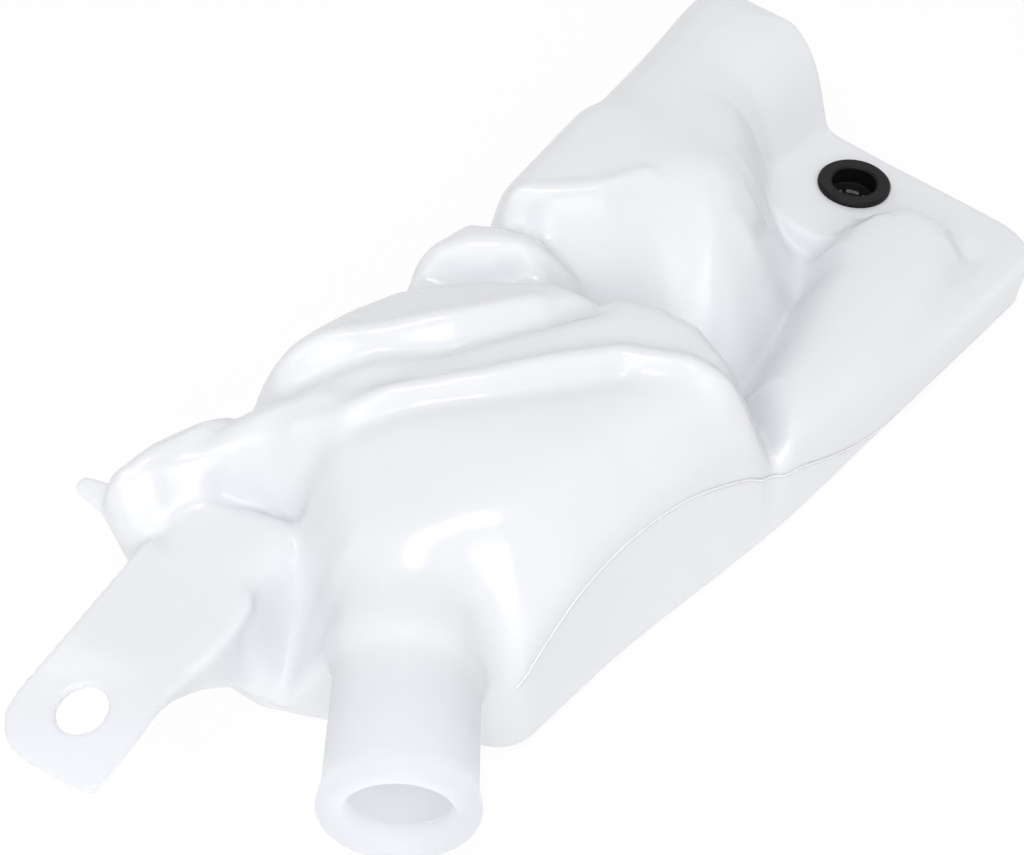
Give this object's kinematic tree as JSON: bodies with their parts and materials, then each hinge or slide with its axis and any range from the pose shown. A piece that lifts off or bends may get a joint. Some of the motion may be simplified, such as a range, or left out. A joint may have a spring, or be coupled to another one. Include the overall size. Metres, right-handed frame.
{
  "type": "windscreen washer reservoir",
  "caption": "Flat-backed blow-moulded fluid tank with a lobed top, a slanted filler neck, a bolt tab and a rubber pump grommet with a strainer.",
  "frame": {"origin": "middle of the flat back of the tank, on the back's plane", "axes": "+X towards the pump end, +Y towards the tall block's side, +Z away from the flat back"},
  "size_m": [0.4088, 0.2011, 0.0891],
  "materials": {
    "tank": "milky semi-gloss natural polyethylene",
    "grommet": "satin moulded rubber",
    "strainer": "plain moulded plastic"
  },
  "bodies": {
    "root": {"reservoir_body": "tank", "pump_grommet": "grommet", "pump_strainer": "strainer"}
  },
  "joints": []
}
